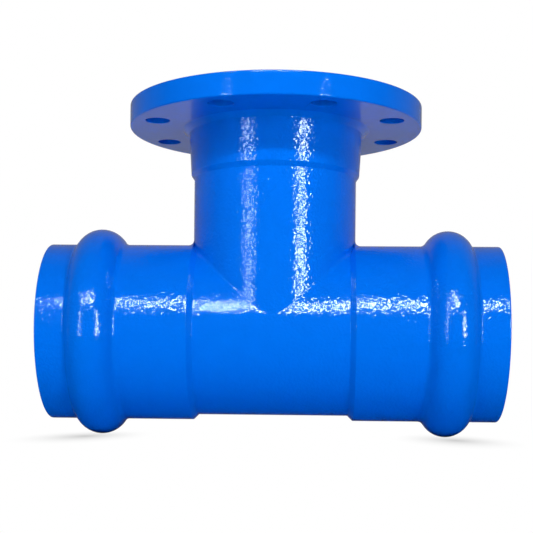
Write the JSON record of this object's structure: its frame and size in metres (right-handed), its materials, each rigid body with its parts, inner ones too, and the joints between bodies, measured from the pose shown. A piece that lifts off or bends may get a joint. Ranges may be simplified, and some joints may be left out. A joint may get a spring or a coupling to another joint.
{
  "type": "double socket flanged tee",
  "caption": "Blue coated cast iron pipe tee with push-in sockets at both ends of the run, a round bulge over each rubber seal, and a short branch rising to a drilled flange.",
  "frame": {"origin": "centre of the bolt circle on the flange's bolting face, 3 mm below its raised sealing face", "axes": "+Z along the branch, out of the flange; +X along the run through both sockets, towards the right socket; +Y away from the viewer of the picture"},
  "size_m": [0.436, 0.285, 0.3233],
  "materials": {
    "blue_coated_iron": "glossy epoxy powder coat with fine orange peel",
    "seal_rubber": "matt moulded rubber"
  },
  "bodies": {
    "root": {"tee_body": "blue_coated_iron", "socket_seal_left": "seal_rubber", "socket_seal_right": "seal_rubber"}
  },
  "joints": []
}
